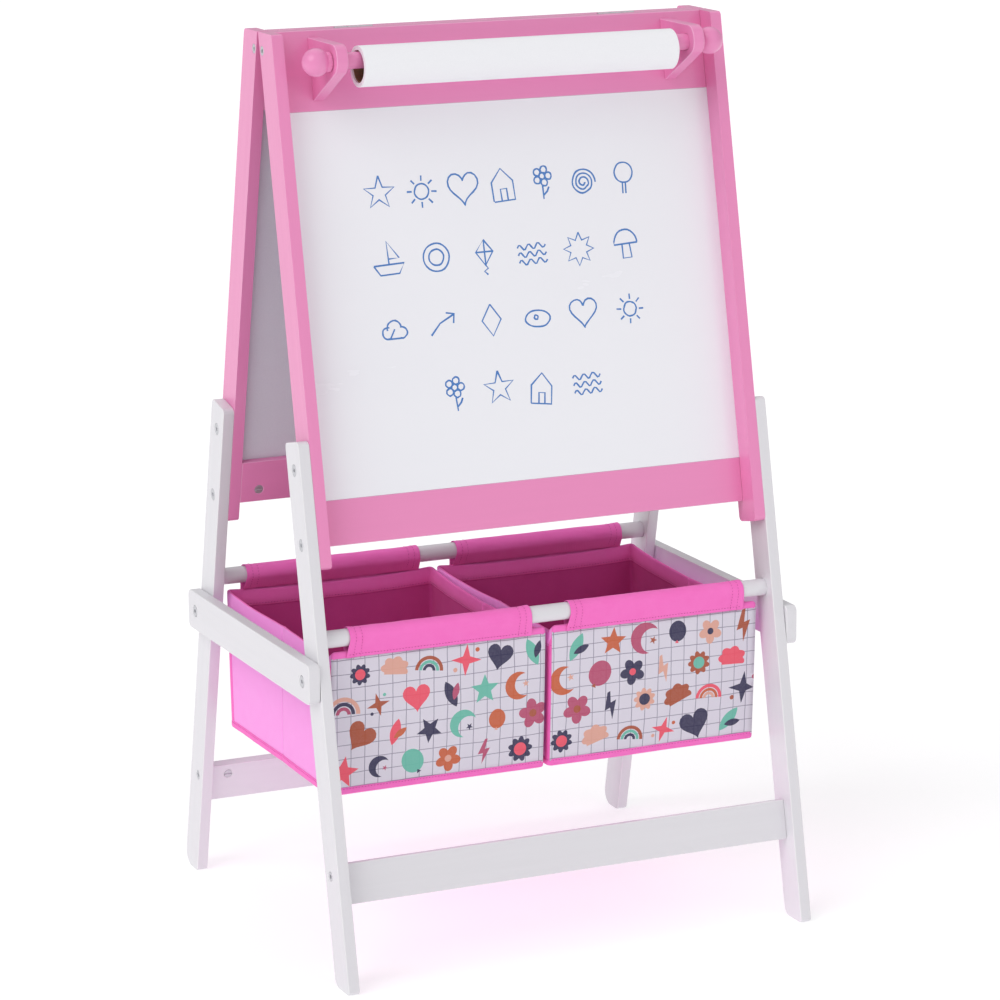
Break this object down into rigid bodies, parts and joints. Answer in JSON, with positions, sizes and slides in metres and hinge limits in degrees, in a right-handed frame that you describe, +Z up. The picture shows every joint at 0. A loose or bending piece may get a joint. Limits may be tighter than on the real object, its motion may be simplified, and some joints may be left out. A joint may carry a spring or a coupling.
{
  "type": "children's easel",
  "caption": "Double-sided A-frame children's easel: whiteboard and chalkboard in hinged timber frames, a paper roll on a spindle, fabric bins on rods and bolted side braces.",
  "frame": {"origin": "on the floor, midway between the four feet", "axes": "+Z up, +X to the right of somebody facing the whiteboard, +Y from the whiteboard towards the chalkboard"},
  "size_m": [0.587, 0.4998, 1],
  "materials": {
    "pink_wood": "satin pink paint over timber",
    "white_wood": "satin white paint over timber",
    "dry_erase_board": "smooth white dry-erase face",
    "grey_hardboard": "matte light grey painted board",
    "chalk_surface": "matte black chalk paint",
    "plated_steel": "zinc plated",
    "bin_fabric": "stiffened non-woven fabric with a printed front",
    "cardboard": "bare cardboard",
    "paper": "matte drawing paper"
  },
  "bodies": {
    "front_frame": {"front_stile_left": "pink_wood", "front_stile_right": "pink_wood", "front_top_rail": "pink_wood", "front_bottom_rail": "pink_wood", "whiteboard": "dry_erase_board", "front_leg_left": "white_wood", "front_leg_right": "white_wood", "front_foot_rail": "white_wood", "front_rod": "white_wood", "roll_bracket_left": "pink_wood", "roll_bracket_right": "pink_wood", "bracket_screws": "plated_steel", "hinge_leaf_front_left": "plated_steel", "hinge_leaf_front_right": "plated_steel", "hinge_pin_left": "plated_steel", "hinge_pin_right": "plated_steel", "front_hinge_screws": "plated_steel", "front_leg_bolts": "plated_steel", "front_rail_bolts": "plated_steel", "front_rail_nuts": "plated_steel", "front_foot_bolts": "plated_steel", "front_foot_nuts": "plated_steel", "brace_pivot_bolts": "plated_steel", "bin_left": "bin_fabric", "bin_right": "bin_fabric"},
    "rear_frame": {"rear_stile_left": "pink_wood", "rear_stile_right": "pink_wood", "rear_top_rail": "pink_wood", "rear_bottom_rail": "pink_wood", "rear_board": "grey_hardboard", "chalk_sheet": "chalk_surface", "rear_leg_left": "white_wood", "rear_leg_right": "white_wood", "rear_foot_rail": "white_wood", "rear_rod": "white_wood", "hinge_leaf_rear_left": "plated_steel", "hinge_leaf_rear_right": "plated_steel", "rear_hinge_screws": "plated_steel", "rear_leg_bolts": "plated_steel", "rear_rail_bolts": "plated_steel", "rear_rail_nuts": "plated_steel", "rear_foot_bolts": "plated_steel", "rear_foot_nuts": "plated_steel", "brace_inserts": "plated_steel"},
    "brace_left": {"side_brace_left": "white_wood", "brace_end_bolt_left": "plated_steel"},
    "brace_right": {"side_brace_right": "white_wood", "brace_end_bolt_right": "plated_steel"},
    "roll_spindle": {"spindle_dowel": "pink_wood", "spindle_knob_left": "pink_wood", "spindle_knob_right": "pink_wood"},
    "paper_roll": {"roll_core": "cardboard", "roll_paper": "paper"}
  },
  "joints": [
    {"name": "fold", "type": "hinge", "parent": "front_frame", "child": "rear_frame", "pos_m": [0, 0, 0.9975], "axis": [-1, 0, 0], "range_deg": [0, 24], "deforming": ["bin_left", "bin_right"]},
    {"name": "brace_left_pivot", "type": "hinge", "parent": "front_frame", "child": "brace_left", "pos_m": [-0.287, -0.16351, 0.32684], "axis": [1, 0, 0], "range_deg": [0, 78]},
    {"name": "brace_right_pivot", "type": "hinge", "parent": "front_frame", "child": "brace_right", "pos_m": [0.287, -0.16351, 0.32684], "axis": [1, 0, 0], "range_deg": [0, 78]},
    {"name": "spindle_turn", "type": "hinge", "parent": "front_frame", "child": "roll_spindle", "pos_m": [0, -0.07895, 0.97237], "axis": [1, 0, 0], "continuous": true},
    {"name": "roll_turn", "type": "hinge", "parent": "front_frame", "child": "paper_roll", "pos_m": [0, -0.07895, 0.96567], "axis": [1, 0, 0], "continuous": true}
  ],
  "couplings": [
    {"joint": "brace_left_pivot", "follows": "fold", "ratio": 3.24},
    {"joint": "brace_right_pivot", "follows": "fold", "ratio": 3.24}
  ]
}
